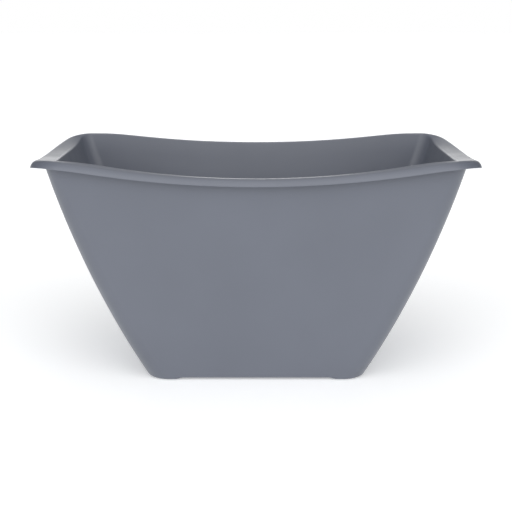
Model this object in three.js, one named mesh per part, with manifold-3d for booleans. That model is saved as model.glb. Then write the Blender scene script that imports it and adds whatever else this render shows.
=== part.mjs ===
// A free-standing pet bathtub: one moulded tub with a rolled rim, a floor drain with a rubber
// stopper, and four anti-slip foot pads. Millimetres, +Z up, +X along the tub.
// The origin is on the ground under the middle of the tub.
import * as THREE from "three";
import { mergeVertices } from "three/addons/utils/BufferGeometryUtils.js";
import Module from "manifold-3d";

const wasm = await Module();
wasm.setup();

// ---------- driving dimensions ----------

// The rim, measured over its outer edge
const LENGTH = 800;
const WIDTH = 500;
const CORNER_HEIGHT = 400.5; // height that the crest climbs towards at the four corners
const SIDE_DIP = 25; // how far the crest falls at the middle of each long side
const SIDE_DIP_REACH = 330; // where that dip has run out, from the middle of the side
const DIP_SOFTNESS = 3; // how gently the dip runs out
const END_DIP = 19.5; // how far the crest falls at the middle of each end
const END_DIP_POWER = 8; // how closely that dip keeps to the ends
const END_DIP_LEFT = 0.14; // share of that dip that is left at the corners
const RIM_CORNER = 50; // corner radius of the outer edge
const RIM_SIDE_BOW = 44; // how far each long side bulges at its middle
const RIM_END_BOW = 25.5; // how far each end bulges at its middle
const RIM_FLATNESS = 2; // how level the rim's outline stays across the ends before it climbs
const EDGE_BOW = 6.5; // how far the end walls' top edge bulges at its middle
const EDGE_FLATNESS = 6; // how level that edge stays before it climbs to the corners
const END_SHELF = 41; // rim width at the middle of the ends, to carry the tub by
const SIDE_SHELF = 17; // rim width along the sides
const CREST_ROUND = 3; // radius from the inner wall onto the shelf
const LIP_RUN = 12; // width of the curve from the shelf out to the rim's free edge
const LIP_SHOULDER = 3; // how far in from that edge the curve turns down
const LIP_DROP = 12; // depth of the free edge below the crest

// The walls and the base
const WALL = 3;
const WALL_TOP_CORNER = 22; // corner radius of the outer wall under the rim
const WALL_BARREL = 0.25; // 0 is a straight wall; more leans out early and then stands up
const BOW_POWER = 1.5; // more than 1 leaves the base straight and bulges near the rim
const BASE_LENGTH = 391;
const BASE_WIDTH = 328;
const BASE_CORNER = 40;
const BASE_EDGE_ROUND = 5;
const BASE_RIM = 14; // width of the ring that stands below the floor's underside
const BASE_RIM_DRAFT = 3; // how far the inside of that ring leans in on its way up
const FLOOR_HEIGHT = 17; // top of the floor above the ground
const FLOOR_THICKNESS = 3;
const FLOOR_ROUND = 16; // inside radius from the floor into the walls

// The feet and their pads
const FOOT_HEIGHT = 3; // how far a foot stands below the base ring
const FOOT_SPAN = 52; // length of a foot along the front edge
const FOOT_BLEND = 14; // length of the slope from the foot up to the base ring
const PAD_DIAMETER = 30;
const PAD_THICKNESS = 3;
const PAD_PROUD = 0.8; // how far the rubber stands out of its pocket
const PAD_LAND = 6; // plastic left around the pocket

// The anti-slip bars on the floor
const BAR_LENGTH = 52;
const BAR_WIDTH = 7;
const BAR_HEIGHT = 1.4;
const BAR_GAP = 17;
const BAR_MARGIN = 24; // bare floor kept round the bars

// The drain
const DRAIN_FROM_END = 92; // centre of the drain from the end of the base
const DRAIN_BORE = 38;
const DRAIN_TUBE_WALL = 2.6;
const FLANGE_DIAMETER = 72;
const FLANGE_THICKNESS = 1.8;
const FLANGE_SEAT = 2.4; // depth of the cone that the stopper seats in
const FLANGE_BEVEL = 0.6; // height of the slope round the flange, which is twice as wide
const GASKET_THICKNESS = 1.4;
const GASKET_BORDER = 3; // flange left bare outside the gasket
const NUT_DIAMETER = 66;
const NUT_THICKNESS = 3.2;
const NUT_LOBES = 10;
const NUT_LOBE_HEIGHT = 1.6;
const TUBE_PROUD = 1; // drain tube below its nut
const STRAINER_BAR = 2.6;
const DISH_SLOPE = 9; // width of the slope round the recess that the drain sits in
const BOSS_BORDER = 4; // underside boss outside the nut

// The stopper and its ring
const STOPPER_DIAMETER = 54;
const STOPPER_THICKNESS = 3.4;
const STOPPER_DRAFT = 2.2; // how much narrower the plug is at its foot, on the radius
const STOPPER_DEPTH = 6.5;
const STOPPER_EDGE = 1.4; // rounding of the stopper's upper edge, twice as wide as high
const EYE_THICKNESS = 4;
const EYE_WIDTH = 9;
const EYE_HOLE = 3.6;
const EYE_TOP_WALL = 2.2;
const RING_DIAMETER = 25; // across the middle of its wire
const RING_WIRE = 2.4;
const RING_LIFT = 0.9; // gap under the ring when it lies down

const FIT_GAP = 0.3; // clearance between pieces that touch
const ROUND_STEPS = 36;

// ---------- materials ----------

const tubPlastic = new THREE.MeshStandardMaterial({ color: 0x6b7078, roughness: 0.42 });
const drainPlastic = new THREE.MeshStandardMaterial({ color: 0x3b3f45, roughness: 0.5 });
const blackRubber = new THREE.MeshStandardMaterial({ color: 0x26282b, roughness: 0.8 });
const stopperRubber = new THREE.MeshStandardMaterial({ color: 0x2e3135, roughness: 0.7 });
const ringSteel = new THREE.MeshStandardMaterial({
  color: 0xb9bcc0,
  roughness: 0.28,
  metalness: 1,
});

// ---------- solids ----------

// A closed geometry as a solid that can be joined and cut.
function solid(geometry) {
  geometry.deleteAttribute("normal");
  geometry.deleteAttribute("uv");
  const merged = mergeVertices(geometry, 1e-4);
  return new wasm.Manifold(
    new wasm.Mesh({
      numProp: 3,
      vertProperties: merged.attributes.position.array,
      triVerts: new Uint32Array(merged.index.array),
    }),
  );
}

function geometryOf(made) {
  const mesh = made.getMesh();
  const position = new THREE.BufferAttribute(new Float32Array(mesh.vertProperties), 3);
  const geometry = new THREE.BufferGeometry();
  geometry.setAttribute("position", position);
  geometry.setIndex(new THREE.BufferAttribute(new Uint32Array(mesh.triVerts), 1));
  geometry.computeVertexNormals();
  return geometry;
}

function meshOf(name, geometry, material) {
  const mesh = new THREE.Mesh(geometry, material);
  mesh.name = name;
  return mesh;
}

// A turned piece about Z from its [radius, height] outline, which runs up its outer side.
function turned(outline, steps = ROUND_STEPS) {
  const points = outline.map(([radius, height]) => new THREE.Vector2(radius, height));
  return new THREE.LatheGeometry(points, steps).rotateX(Math.PI / 2);
}

function box(width, depth, height, x, y, bottom) {
  return new THREE.BoxGeometry(width, depth, height).translate(x, y, bottom + height / 2);
}

const mix = (from, to, share) => from + (to - from) * share;
const smooth = (share) => {
  const s = Math.min(Math.max(share, 0), 1);
  return s * s * (3 - 2 * s);
};

// ---------- outlines of the tub, seen from above ----------

const SIDE_STEPS = 9;
const CORNER_STEPS = 6;
const END_STEPS = 4;

// An outline is a rounded rectangle whose sides and ends bulge at their middles. Its end
// power is how level it stays across an end before it climbs to the corners.
const rimEdge = {
  halfLength: LENGTH / 2,
  halfWidth: WIDTH / 2,
  corner: RIM_CORNER,
  sideBow: RIM_SIDE_BOW,
  endBow: RIM_END_BOW,
  endPower: RIM_FLATNESS,
};
// The inner wall where it meets the rim
const wallTop = {
  halfLength: LENGTH / 2 - END_SHELF,
  halfWidth: WIDTH / 2 - SIDE_SHELF,
  corner: WALL_TOP_CORNER - WALL,
  sideBow: RIM_SIDE_BOW,
  endBow: EDGE_BOW,
  endPower: EDGE_FLATNESS,
};
// The outer wall where it meets the ground ring
const base = {
  halfLength: BASE_LENGTH / 2,
  halfWidth: BASE_WIDTH / 2,
  corner: BASE_CORNER,
  sideBow: 0,
  endBow: 0,
};

const outset = (outline, distance) => ({
  ...outline,
  halfLength: outline.halfLength + distance,
  halfWidth: outline.halfWidth + distance,
  corner: Math.max(outline.corner + distance, 2),
});

function between(low, high, share, bowShare = share) {
  return {
    halfLength: mix(low.halfLength, high.halfLength, share),
    halfWidth: mix(low.halfWidth, high.halfWidth, share),
    corner: mix(low.corner, high.corner, share),
    sideBow: mix(low.sideBow, high.sideBow, bowShare),
    endBow: mix(low.endBow, high.endBow, bowShare),
    endPower: high.endPower,
  };
}

// The points of an outline, anticlockwise from the middle of the +X end.
function outlinePoints({ halfLength, halfWidth, corner, sideBow, endBow }) {
  const flatEnd = halfLength - endBow;
  const flatSide = halfWidth - sideBow;
  const quarter = [];
  for (let i = 0; i < END_STEPS; i++) {
    quarter.push([flatEnd, ((flatSide - corner) * i) / END_STEPS]);
  }
  for (let i = 0; i < CORNER_STEPS; i++) {
    const angle = ((Math.PI / 2) * i) / CORNER_STEPS;
    quarter.push([
      flatEnd - corner + corner * Math.cos(angle),
      flatSide - corner + corner * Math.sin(angle),
    ]);
  }
  for (let i = 0; i <= SIDE_STEPS; i++) {
    quarter.push([(flatEnd - corner) * (1 - i / SIDE_STEPS), flatSide]);
  }
  const bowed = quarter.map(([x, y]) => [
    x * (1 + (endBow / flatEnd) * (1 - (y / flatSide) ** 2)),
    y * (1 + (sideBow / flatSide) * (1 - (x / flatEnd) ** 2)),
  ]);
  const last = bowed.length - 1;
  const flip = (points, sx, sy) => points.map(([x, y]) => [x * sx, y * sy]);
  return [
    ...bowed.slice(0, last),
    ...flip(bowed.slice(1).reverse(), -1, 1),
    ...flip(bowed.slice(0, last), -1, -1),
    ...flip(bowed.slice(1).reverse(), 1, -1),
  ];
}

// ---------- heights of the tub ----------

const sideHeight = CORNER_HEIGHT - SIDE_DIP;

// The crest of the rim above a point of an outline.
function crestHeight(x, y, { halfLength, halfWidth, sideBow, endPower }) {
  const along = ((x / halfLength) * LENGTH) / 2;
  const curve = SIDE_DIP / SIDE_DIP_REACH ** 2;
  const open = Math.exp((-curve * along ** 2) / DIP_SOFTNESS);
  const full = Math.exp(-SIDE_DIP / DIP_SOFTNESS);
  const rise = -DIP_SOFTNESS * Math.log(open + full);
  const nearEnd = Math.abs(x / halfLength) ** END_DIP_POWER;
  const acrossEnd = Math.min(Math.abs(y) / (halfWidth - sideBow), 1);
  const endDip = END_DIP * nearEnd * (1 - (1 - END_DIP_LEFT) * acrossEnd ** endPower);
  return sideHeight + rise - endDip;
}

// The ground ring is level, and steps down to a foot at each corner.
const footBottom = PAD_PROUD;
const ringBottom = footBottom + FOOT_HEIGHT;
function groundHeight(x, y) {
  const footStart = BASE_LENGTH / 2 - FOOT_SPAN;
  const alongSide = smooth((Math.abs(x) - footStart + FOOT_BLEND) / FOOT_BLEND);
  const footDepth = BASE_WIDTH / 2 - FOOT_SPAN;
  const alongEnd = smooth((Math.abs(y) - footDepth + FOOT_BLEND) / FOOT_BLEND);
  return ringBottom - FOOT_HEIGHT * alongSide * alongEnd;
}

// ---------- the tub's skin, as a stack of outlines ----------

const barrel = (share) => share * (1 + WALL_BARREL) - WALL_BARREL * share ** 2;
const outerTop = outset(wallTop, WALL);
const floorUnderside = FLOOR_HEIGHT - FLOOR_THICKNESS;

// The outer wall at a share of its height
function outerWall(share) {
  return between(base, outerTop, barrel(share), share ** BOW_POWER);
}

function outerWallHeight(share) {
  return (x, y, outline) => mix(groundHeight(x, y), crestHeight(x, y, outline) - WALL, share);
}

const level = (height) => () => height;
const belowCrest = (drop) => (x, y, outline) => crestHeight(x, y, outline) - drop;

// The lip's curve from the shelf, at 0, to its free edge, at 1. Its underside lies one
// thickness inside its top.
function lip(share, thickness) {
  const toShoulder = (1 - share) ** 2 * LIP_RUN;
  const roundShoulder = 2 * share * (1 - share) * (LIP_SHOULDER + thickness / 2);
  const inset = toShoulder + roundShoulder + share ** 2 * thickness;
  const depth = mix(thickness, LIP_DROP, share ** 2);
  return [outset(rimEdge, -inset), belowCrest(depth)];
}
const LIP_STEPS = 6;

// Shares of the walls' height at which they have an outline
const WALL_SHARES = [0.06, 0.22, 0.42, 0.62, 0.82];

// Each station is an outline and the height above each of its points.
function tubStations() {
  const stations = [];
  const add = (outline, height) => stations.push({ outline, height });
  const arc = (steps, from, to, step) => {
    for (let i = 0; i <= steps; i++) {
      step(THREE.MathUtils.degToRad(mix(from, to, i / steps)));
    }
  };

  // the recessed underside, then down the inside of the ground ring
  const ringInside = outset(base, -BASE_RIM);
  add(outset(ringInside, -BASE_RIM_DRAFT), level(floorUnderside));
  add(ringInside, groundHeight);

  // the ring's outer edge, rounded, then the outer wall
  arc(3, 0, 60, (angle) => {
    const inset = BASE_EDGE_ROUND * (1 - Math.sin(angle));
    const rise = BASE_EDGE_ROUND * (1 - Math.cos(angle));
    add(outset(base, -inset), (x, y) => groundHeight(x, y) + rise);
  });
  for (const share of WALL_SHARES) {
    add(outerWall(share), outerWallHeight(share));
  }

  // under the shelf, down inside the lip, round its free edge and up again
  add(outerTop, belowCrest(WALL));
  for (let i = 0; i <= LIP_STEPS; i++) {
    add(...lip(i / LIP_STEPS, WALL));
  }
  for (let i = LIP_STEPS; i >= 0; i--) {
    add(...lip(i / LIP_STEPS, 0));
  }

  // across the shelf and over the crest into the tub
  arc(2, 90, 0, (angle) => {
    add(
      outset(wallTop, CREST_ROUND * (1 - Math.cos(angle))),
      belowCrest(CREST_ROUND * (1 - Math.sin(angle))),
    );
  });
  for (const share of WALL_SHARES.slice(1).reverse()) {
    add(outset(outerWall(share), -WALL), outerWallHeight(share));
  }

  // round into the floor, from where the round is as steep as the walls
  const roundHeight = (angle) => FLOOR_HEIGHT + FLOOR_ROUND * (1 - Math.cos(angle));
  const wallLean = 70;
  const roundTop = roundHeight(THREE.MathUtils.degToRad(wallLean));
  const floorEdge = outset(outerWall(roundTop / sideHeight), -WALL);
  arc(3, wallLean, 0, (angle) => {
    add(
      outset(floorEdge, -FLOOR_ROUND * (1 - Math.sin(angle))),
      level(roundHeight(angle)),
    );
  });
  return stations;
}

// Skins the stations and closes both ends with a flat fan.
function skin(stations) {
  const rings = stations.map(({ outline, height }) =>
    outlinePoints(outline).map(([x, y]) => [x, y, height(x, y, outline)]),
  );
  const count = rings[0].length;
  const vertices = rings.flat();
  const faces = [];
  for (let ring = 0; ring + 1 < rings.length; ring++) {
    for (let i = 0; i < count; i++) {
      const next = (i + 1) % count;
      const a = ring * count + i;
      const b = ring * count + next;
      const c = a + count;
      const d = b + count;
      faces.push(a, b, d, a, d, c);
    }
  }
  const bottomCentre = vertices.push([0, 0, rings[0][0][2]]) - 1;
  const topCentre = vertices.push([0, 0, rings.at(-1)[0][2]]) - 1;
  const topStart = (rings.length - 1) * count;
  for (let i = 0; i < count; i++) {
    const next = (i + 1) % count;
    faces.push(bottomCentre, next, i);
    faces.push(topCentre, topStart + i, topStart + next);
  }
  const geometry = new THREE.BufferGeometry();
  geometry.setAttribute("position", new THREE.Float32BufferAttribute(vertices.flat(), 3));
  geometry.setIndex(faces);
  return geometry;
}

// ---------- the drain's stack, from the floor down ----------

const drainX = BASE_LENGTH / 2 - DRAIN_FROM_END;
const tubeRadius = DRAIN_BORE / 2 + DRAIN_TUBE_WALL;
const dishDepth = FLANGE_THICKNESS + GASKET_THICKNESS + 2 * FIT_GAP;
const dishFloor = FLOOR_HEIGHT - dishDepth;
const dishRadius = FLANGE_DIAMETER / 2 + 2 * FIT_GAP;
const gasketBottom = dishFloor + FIT_GAP;
const flangeBottom = gasketBottom + GASKET_THICKNESS + FIT_GAP;
const flangeTop = flangeBottom + FLANGE_THICKNESS;
const bossBottom = dishFloor - FLOOR_THICKNESS;
const nutTop = bossBottom - FIT_GAP;
const tubeBottom = nutTop - NUT_THICKNESS - TUBE_PROUD;

// ---------- feet ----------

const padRadius = PAD_DIAMETER / 2;
const footRadius = padRadius + PAD_LAND;
const padPocket = PAD_THICKNESS - PAD_PROUD + FIT_GAP;
// a foot's circle touches the flat of the ground ring from inside, along the corner's diagonal
const footInset = BASE_EDGE_ROUND + footRadius;
const cornerInset = Math.max(BASE_CORNER - footInset, 0) * (1 - Math.SQRT1_2);
const footX = BASE_LENGTH / 2 - footInset - cornerInset;
const footY = BASE_WIDTH / 2 - footInset - cornerInset;
const corners = [
  ["front_left", -1, -1],
  ["front_right", 1, -1],
  ["back_left", -1, 1],
  ["back_right", 1, 1],
];

function footPad(name, sideX, sideY) {
  const chamfer = 0.5;
  const outline = [
    [0, 0],
    [padRadius - chamfer, 0],
    [padRadius, chamfer],
    [padRadius, PAD_THICKNESS],
    [0, PAD_THICKNESS],
  ];
  const pad = meshOf("foot_pad_" + name, turned(outline, 28), blackRubber);
  pad.position.set(footX * sideX, footY * sideY, 0);
  return pad;
}

// ---------- the tub ----------

// Low bars across the floor, left out where the drain's recess needs the room
function antiSlipBars() {
  const bars = [];
  const pitchX = BAR_LENGTH + BAR_GAP;
  const pitchY = BAR_WIDTH + BAR_GAP;
  const flatX = BASE_LENGTH / 2 - WALL - FLOOR_ROUND - BAR_MARGIN;
  const flatY = BASE_WIDTH / 2 - WALL - FLOOR_ROUND - BAR_MARGIN;
  const columns = Math.floor((2 * flatX + BAR_GAP) / pitchX);
  const rows = Math.floor((2 * flatY + BAR_GAP) / pitchY);
  const drainReach = dishRadius + DISH_SLOPE + BAR_GAP / 2;
  for (let column = 0; column < columns; column++) {
    for (let row = 0; row < rows; row++) {
      const x = (column - (columns - 1) / 2) * pitchX;
      const y = (row - (rows - 1) / 2) * pitchY;
      const clearX = Math.max(Math.abs(x - drainX) - BAR_LENGTH / 2, 0);
      const clearY = Math.max(Math.abs(y) - BAR_WIDTH / 2, 0);
      if (Math.hypot(clearX, clearY) < drainReach) {
        continue;
      }
      const sunk = FLOOR_THICKNESS / 2;
      bars.push(box(BAR_LENGTH, BAR_WIDTH, BAR_HEIGHT + sunk, x, y, FLOOR_HEIGHT - sunk));
    }
  }
  return bars;
}

function tubShell() {
  let tub = solid(skin(tubStations()));
  for (const bar of antiSlipBars()) {
    tub = tub.add(solid(bar));
  }

  // a boss under the drain carries the floor down round the recess
  const bossRadius = NUT_DIAMETER / 2 + BOSS_BORDER;
  const boss = [
    [0, bossBottom],
    [bossRadius, bossBottom],
    [bossRadius + FLOOR_THICKNESS, floorUnderside + FLOOR_THICKNESS / 2],
    [0, floorUnderside + FLOOR_THICKNESS / 2],
  ];
  tub = tub.add(solid(turned(boss).translate(drainX, 0, 0)));
  const above = FLOOR_HEIGHT + BAR_HEIGHT;
  const slope = DISH_SLOPE / dishDepth;
  const dish = [
    [0, dishFloor],
    [dishRadius, dishFloor],
    [dishRadius + slope * (above - dishFloor), above],
    [0, above],
  ];
  tub = tub.subtract(solid(turned(dish).translate(drainX, 0, 0)));
  const holeRadius = tubeRadius + FIT_GAP;
  const hole = [
    [0, bossBottom - 1],
    [holeRadius, bossBottom - 1],
    [holeRadius, FLOOR_HEIGHT],
    [0, FLOOR_HEIGHT],
  ];
  tub = tub.subtract(solid(turned(hole).translate(drainX, 0, 0)));

  // feet, each with a pocket for its pad
  for (const [, sideX, sideY] of corners) {
    const foot = [
      [0, footBottom],
      [footRadius, footBottom],
      [footRadius, floorUnderside + FLOOR_THICKNESS / 2],
      [0, floorUnderside + FLOOR_THICKNESS / 2],
    ];
    const pocketRadius = padRadius + FIT_GAP;
    const pocket = [
      [0, footBottom - 1],
      [pocketRadius, footBottom - 1],
      [pocketRadius, footBottom + padPocket],
      [0, footBottom + padPocket],
    ];
    const place = (outline) => turned(outline, 28).translate(footX * sideX, footY * sideY, 0);
    tub = tub.add(solid(place(foot)));
    tub = tub.subtract(solid(place(pocket)));
  }
  return meshOf("tub_shell", geometryOf(tub), tubPlastic);
}

// ---------- the drain ----------

// The flange and threaded tube, with a cross of strainer bars at the bottom of the bore
function drainFlange() {
  const bore = DRAIN_BORE / 2;
  const outline = [
    [bore, tubeBottom],
    [tubeRadius, tubeBottom],
    [tubeRadius, flangeBottom],
    [FLANGE_DIAMETER / 2, flangeBottom],
    [FLANGE_DIAMETER / 2, flangeTop - FLANGE_BEVEL],
    [FLANGE_DIAMETER / 2 - 2 * FLANGE_BEVEL, flangeTop],
    [bore + FLANGE_SEAT, flangeTop],
    [bore, flangeTop - FLANGE_SEAT],
    [bore, tubeBottom],
  ];
  let body = solid(turned(outline));
  const reach = 2 * bore + DRAIN_TUBE_WALL;
  const crossBar = box(reach, STRAINER_BAR, STRAINER_BAR, 0, 0, tubeBottom);
  body = body.add(solid(crossBar));
  body = body.add(solid(box(STRAINER_BAR, reach, STRAINER_BAR, 0, 0, tubeBottom)));
  const flange = meshOf("drain_flange", geometryOf(body), drainPlastic);
  flange.position.x = drainX;
  return flange;
}

function drainGasket() {
  const inner = tubeRadius + FIT_GAP;
  const outer = FLANGE_DIAMETER / 2 - GASKET_BORDER;
  const outline = [
    [inner, 0],
    [outer, 0],
    [outer, GASKET_THICKNESS],
    [inner, GASKET_THICKNESS],
    [inner, 0],
  ];
  const gasket = meshOf("drain_gasket", turned(outline), blackRubber);
  gasket.position.set(drainX, 0, gasketBottom);
  return gasket;
}

// The nut under the floor, with lobes to grip it by
function drainLockNut() {
  const shape = new THREE.Shape();
  const steps = NUT_LOBES * 8;
  for (let i = 0; i < steps; i++) {
    const angle = (2 * Math.PI * i) / steps;
    const radius = NUT_DIAMETER / 2 - NUT_LOBE_HEIGHT * (1 - Math.cos(angle * NUT_LOBES)) * 0.5;
    const [x, y] = [radius * Math.cos(angle), radius * Math.sin(angle)];
    if (i === 0) {
      shape.moveTo(x, y);
    } else {
      shape.lineTo(x, y);
    }
  }
  const hole = new THREE.Path();
  hole.absarc(0, 0, tubeRadius + FIT_GAP, 0, 2 * Math.PI, true);
  shape.holes.push(hole);
  const geometry = new THREE.ExtrudeGeometry(shape, {
    depth: NUT_THICKNESS,
    bevelEnabled: false,
    curveSegments: ROUND_STEPS / 2,
  });
  const nut = meshOf("drain_lock_nut", geometry, drainPlastic);
  nut.position.set(drainX, 0, nutTop - NUT_THICKNESS);
  return nut;
}

// ---------- the stopper ----------

const eyeHoleHeight = RING_LIFT + RING_WIRE / 2;

// A rubber plug with an eye on top. Its own origin is in the plane of the rim's underside.
function drainStopper() {
  const top = STOPPER_THICKNESS;
  const plugRadius = DRAIN_BORE / 2 - FIT_GAP;
  const shoulder = plugRadius + FLANGE_SEAT;
  const rim = STOPPER_DIAMETER / 2;
  const outline = [
    [0, -STOPPER_DEPTH],
    [plugRadius - STOPPER_DRAFT, -STOPPER_DEPTH],
    [plugRadius, -FLANGE_SEAT - FIT_GAP],
    [shoulder, 0],
    [rim - STOPPER_EDGE / 2, 0],
    [rim, STOPPER_EDGE / 2],
    [rim, top - STOPPER_EDGE],
    [rim - STOPPER_EDGE, top - STOPPER_EDGE / 4],
    [rim - 2 * STOPPER_EDGE, top],
    [0, top],
  ];
  let plug = solid(turned(outline));
  const holeRadius = EYE_HOLE / 2;
  const eyeTop = eyeHoleHeight + holeRadius + EYE_TOP_WALL;
  const shape = new THREE.Shape();
  const roundRadius = EYE_WIDTH / 2;
  const sunk = STOPPER_THICKNESS / 2;
  shape.moveTo(-roundRadius, -sunk);
  shape.lineTo(roundRadius, -sunk);
  shape.lineTo(roundRadius, eyeTop - roundRadius);
  shape.absarc(0, eyeTop - roundRadius, roundRadius, 0, Math.PI, false);
  shape.closePath();
  const hole = new THREE.Path();
  hole.absarc(0, eyeHoleHeight, holeRadius, 0, 2 * Math.PI, true);
  shape.holes.push(hole);
  // the outline is drawn in Y and Z and runs along X
  const eye = new THREE.ExtrudeGeometry(shape, {
    depth: EYE_THICKNESS,
    bevelEnabled: false,
    curveSegments: 10,
  })
    .translate(0, 0, -EYE_THICKNESS / 2)
    .rotateX(Math.PI / 2)
    .rotateZ(Math.PI / 2)
    .translate(0, 0, top);
  plug = plug.add(solid(eye));
  return meshOf("drain_stopper", geometryOf(plug), stopperRubber);
}

// The ring lies down towards the front, with its wire through the eye
function pullRing() {
  const ringRadius = RING_DIAMETER / 2;
  const geometry = new THREE.TorusGeometry(ringRadius, RING_WIRE / 2, 8, 32);
  const ring = meshOf("pull_ring", geometry, ringSteel);
  ring.position.set(0, -ringRadius, STOPPER_THICKNESS + eyeHoleHeight);
  return ring;
}

// ---------- assembly ----------

const tub = new THREE.Group();
tub.add(tubShell());
tub.add(drainFlange());
tub.add(drainGasket());
tub.add(drainLockNut());
for (const [name, sideX, sideY] of corners) {
  tub.add(footPad(name, sideX, sideY));
}

const stopper = new THREE.Group();
stopper.add(drainStopper());
stopper.add(pullRing());
stopper.position.set(drainX, 0, flangeTop + FIT_GAP);

const bathtub = new THREE.Group();
bathtub.add(tub);
bathtub.add(stopper);

export default bathtub;
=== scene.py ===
"""A moulded pet bathtub, finished round its CAD frame: the tub's fine skin, its anti-slip
floor, feet and pads, the floor drain with its rubber stopper, and a plain studio."""

import math
from typing import NamedTuple

import bmesh
import bpy
import numpy as np
from bpy.props import FloatProperty, FloatVectorProperty, IntProperty, PointerProperty
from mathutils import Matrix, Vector


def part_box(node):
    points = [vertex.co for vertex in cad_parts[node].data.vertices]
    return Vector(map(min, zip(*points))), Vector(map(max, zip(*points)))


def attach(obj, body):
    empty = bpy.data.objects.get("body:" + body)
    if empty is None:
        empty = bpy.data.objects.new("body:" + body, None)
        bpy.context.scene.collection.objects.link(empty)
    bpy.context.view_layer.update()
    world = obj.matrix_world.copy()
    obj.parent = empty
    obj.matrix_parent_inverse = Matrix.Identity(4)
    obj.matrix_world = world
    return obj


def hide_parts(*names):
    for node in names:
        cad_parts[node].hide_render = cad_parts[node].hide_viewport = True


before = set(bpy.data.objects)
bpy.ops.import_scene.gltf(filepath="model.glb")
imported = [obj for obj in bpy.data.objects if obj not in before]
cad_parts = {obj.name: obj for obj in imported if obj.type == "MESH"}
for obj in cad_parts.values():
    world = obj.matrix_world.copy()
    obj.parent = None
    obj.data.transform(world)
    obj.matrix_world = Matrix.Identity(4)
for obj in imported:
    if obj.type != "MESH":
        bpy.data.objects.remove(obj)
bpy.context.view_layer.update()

bl_info = {
    "name": "Pet Bathtub",
    "version": (1, 0, 0),
    "blender": (4, 5, 0),
    "location": "View3D > Sidebar > Bathtub",
    "description": "Builds a moulded pet bathtub with its floor drain, stopper and foot pads",
    "category": "Add Mesh",
}

PAD_NODES = [
    "foot_pad_front_left",
    "foot_pad_front_right",
    "foot_pad_back_left",
    "foot_pad_back_right",
]


def linear(hex_colour):
    """A colour written as sRGB hex, as the linear RGB that Blender's colour sockets take."""
    parts = [int(hex_colour[i : i + 2], 16) / 255 for i in (1, 3, 5)]
    return tuple(p / 12.92 if p <= 0.04045 else ((p + 0.055) / 1.055) ** 2.4 for p in parts)


def size_of(node):
    low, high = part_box(node)
    return high - low


def middle_of(node):
    low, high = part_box(node)
    return (low + high) / 2


# ---------- the sizes and colours that a user would change ----------


def length(name, description, default):
    return FloatProperty(
        name=name, description=description, default=default, min=0, unit="LENGTH", precision=4
    )


def colour(name, description, default):
    return FloatVectorProperty(
        name=name,
        description=description,
        default=linear(default),
        min=0,
        max=1,
        size=3,
        subtype="COLOR",
    )


class BathtubRim(bpy.types.PropertyGroup):
    """The rolled rim."""

    length: length("Length", "Length over the rim", size_of("tub_shell").x)
    width: length("Width", "Width over the rim", size_of("tub_shell").y)
    corner_height: length("Corner height", "Height the crest climbs towards", 0.4005)
    side_dip: length("Side dip", "Fall of the crest at the middle of a long side", 0.025)
    dip_reach: length("Dip reach", "Where the side dip has run out", 0.330)
    dip_softness: length("Dip softness", "How gently the side dip runs out", 0.003)
    end_dip: length("End dip", "Fall of the crest at the middle of an end", 0.0195)
    end_dip_power: IntProperty(
        name="End dip power", description="How closely that dip keeps to the ends", default=8
    )
    end_dip_left: FloatProperty(
        name="End dip left",
        description="Share of that dip that is left at the corners",
        default=0.14,
    )
    edge_flatness: IntProperty(
        name="Edge flatness", description="How level the end walls' top edge stays", default=6
    )
    corner: length("Corner radius", "Radius of the rim's corners seen from above", 0.050)
    side_bow: length("Side bow", "Bulge of the long sides at their middle", 0.044)
    end_bow: length("End bow", "Bulge of the ends at their middle", 0.0255)
    edge_bow: length("Edge bow", "Bulge of the end walls' top edge at its middle", 0.0065)
    end_shelf: length("End shelf", "Width of the rim at the ends", 0.041)
    side_shelf: length("Side shelf", "Width of the rim along the sides", 0.017)
    crest_round: length("Crest rounding", "Rounding from the inside onto the shelf", 0.0035)
    lip_run: length("Lip run", "Width of the curve from the shelf out to the free edge", 0.012)
    lip_shoulder: length("Lip shoulder", "How far in from that edge it turns down", 0.003)
    lip_drop: length("Lip drop", "Depth of the rim's free edge below its crest", 0.012)
    edge_round: length("Edge rounding", "Rounding of the rim's free edge", 0.0009)


class BathtubWalls(bpy.types.PropertyGroup):
    """The walls, floor and ground ring."""

    wall: length("Wall", "Thickness of the walls", 0.003)
    top_corner: length("Top corner", "Corner radius of the walls under the rim", 0.022)
    barrel: FloatProperty(
        name="Barrel", description="How much the walls curve on their way up", default=0.25
    )
    base_length: length("Base length", "Length of the base", 0.391)
    base_width: length("Base width", "Width of the base", 0.328)
    base_corner: length("Base corner", "Corner radius of the base", 0.040)
    base_round: length("Base rounding", "Rounding from the walls under the base", 0.005)
    ring_width: length("Ground ring", "Width of the ring that the base stands on", 0.014)
    ring_draft: length("Ring draft", "Lean of the inside of the ground ring", 0.003)
    floor: length("Floor height", "Top of the floor above the ground", 0.017)
    floor_thickness: length("Floor thickness", "Thickness of the floor", 0.003)
    floor_round: length("Floor rounding", "Rounding from the floor into the walls", 0.017)
    foot_height: length("Foot height", "How far a foot stands below the ground ring", 0.003)
    foot_span: length("Foot span", "Length of a foot", 0.052)
    foot_blend: length("Foot blend", "Length of the slope up from a foot", 0.014)
    pad_land: length("Pad land", "Plastic left round a foot's pocket", 0.006)
    pad_proud: length("Pad proud", "How far a pad stands out of its pocket", 0.0008)


class BathtubBars(bpy.types.PropertyGroup):
    """The anti-slip bars on the floor."""

    length: length("Length", "Length of a bar", 0.052)
    width: length("Width", "Width of a bar", 0.007)
    height: length("Height", "Height of a bar above the floor", 0.0014)
    gap: length("Gap", "Bare floor between two bars", 0.017)
    margin: length("Margin", "Bare floor kept round the bars", 0.024)


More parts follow.
